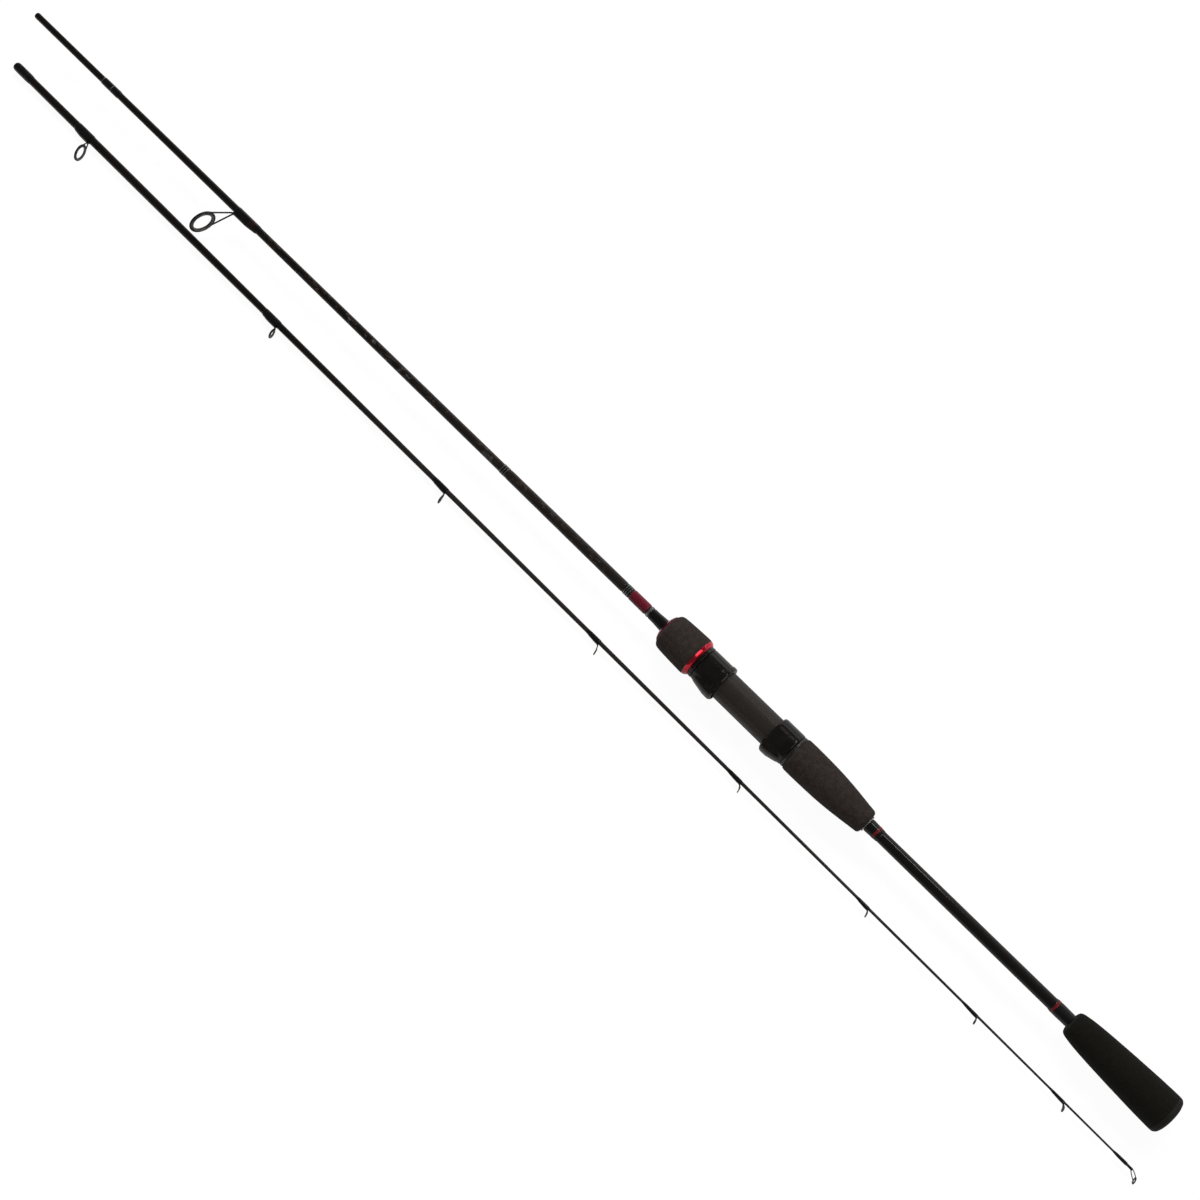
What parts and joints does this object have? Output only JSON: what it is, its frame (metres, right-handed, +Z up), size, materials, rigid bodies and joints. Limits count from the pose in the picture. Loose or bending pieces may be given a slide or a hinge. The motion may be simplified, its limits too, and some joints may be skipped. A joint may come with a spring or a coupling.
{
  "type": "spinning rod",
  "caption": "Spinning fishing rod taken down into its butt and tip sections, with a sliding-hood reel seat, foam grips and wire line guides with ceramic rings.",
  "frame": {"origin": "on the reel seat's flat deck, 1.3 mm ahead of its middle, where a reel's foot stands", "axes": "+X along the butt section towards its upper end, +Y out of the deck, towards the reel and the line guides, +Z up from the floor the taken-down rod lies on"},
  "size_m": [1.1023, 0.0703, 0.0288],
  "materials": {
    "carbon_blank": "gloss",
    "thread_and_epoxy": "gloss",
    "eva_foam": "matte",
    "eva_foam_butt": "matte",
    "cap_rubber": "matte",
    "seat_plastic": "satin",
    "hood_plastic": "gloss",
    "red_anodised": "gloss",
    "maroon_lacquer": "gloss",
    "silver_trim": "gloss",
    "guide_frame": "satin",
    "guide_ring": "gloss",
    "foam_arbor": "matte"
  },
  "bodies": {
    "butt_section": {"butt_blank": "carbon_blank", "decor_sleeve": "carbon_blank", "ferrule_stop_winding": "thread_and_epoxy", "fore_winding": "thread_and_epoxy", "stripper_guide_winding": "thread_and_epoxy", "rear_trim_winding": "thread_and_epoxy", "butt_grip_winding": "thread_and_epoxy", "rear_grip": "eva_foam", "butt_grip": "eva_foam_butt", "butt_cap": "cap_rubber", "reel_seat_body": "seat_plastic", "fixed_hood": "hood_plastic", "rear_red_ring": "red_anodised", "butt_red_ring": "red_anodised", "maroon_band": "maroon_lacquer", "front_trim_band": "silver_trim", "rear_trim_band": "silver_trim", "silver_ring": "silver_trim", "fixed_hood_ring": "silver_trim", "rear_winding_check": "silver_trim", "stripper_guide_frame": "guide_frame", "stripper_guide_ring": "guide_ring", "front_arbor": "foam_arbor", "rear_arbor": "foam_arbor"},
    "sliding_hood": {"movable_hood": "hood_plastic"},
    "nut_and_fore_grip": {"lock_nut": "hood_plastic", "nut_red_ring": "red_anodised", "fore_grip": "eva_foam", "fore_trim_ring": "maroon_lacquer"},
    "ferrule_collar": {"ferrule_winding": "thread_and_epoxy"},
    "tip_section": {"tip_blank": "carbon_blank", "guide_1_frame": "guide_frame", "guide_1_ring": "guide_ring", "guide_1_winding": "thread_and_epoxy", "guide_2_frame": "guide_frame", "guide_2_ring": "guide_ring", "guide_2_winding": "thread_and_epoxy", "guide_3_frame": "guide_frame", "guide_3_ring": "guide_ring", "guide_3_winding": "thread_and_epoxy", "guide_4_frame": "guide_frame", "guide_4_ring": "guide_ring", "guide_4_winding": "thread_and_epoxy", "guide_5_frame": "guide_frame", "guide_5_ring": "guide_ring", "guide_5_winding": "thread_and_epoxy", "guide_6_frame": "guide_frame", "guide_6_ring": "guide_ring", "guide_6_winding": "thread_and_epoxy", "guide_7_frame": "guide_frame", "guide_7_ring": "guide_ring", "guide_7_winding": "thread_and_epoxy", "guide_8_frame": "guide_frame", "guide_8_ring": "guide_ring", "guide_8_winding": "thread_and_epoxy", "tip_top_tube": "guide_frame", "tip_top_frame": "guide_frame", "tip_top_ring": "guide_ring", "tip_top_winding": "thread_and_epoxy"}
  },
  "joints": [
    {"name": "hood_slide", "type": "slide", "parent": "butt_section", "child": "sliding_hood", "axis": [1, 0, 0], "range_m": [-0.004, 0.014]},
    {"name": "nut_turn", "type": "hinge", "parent": "sliding_hood", "child": "nut_and_fore_grip", "pos_m": [0.0565, -0.01065, 0], "axis": [1, 0, 0], "range_deg": [-576.5, 2016.5]},
    {"name": "tip_swing", "type": "hinge", "parent": "butt_section", "child": "ferrule_collar", "pos_m": [0.73342, 0.00735, -0.00545], "axis": [0, -0.2898, -0.9571], "range_deg": [0, 180]},
    {"name": "tip_twist", "type": "hinge", "parent": "ferrule_collar", "child": "tip_section", "pos_m": [0.72, 0.02535, -0.0109], "axis": [1, 0, 0], "range_deg": [-228.69, 131.31]}
  ],
  "couplings": [
    {"joint": "nut_turn", "follows": "hood_slide", "rad_per_m": 2513.3}
  ]
}
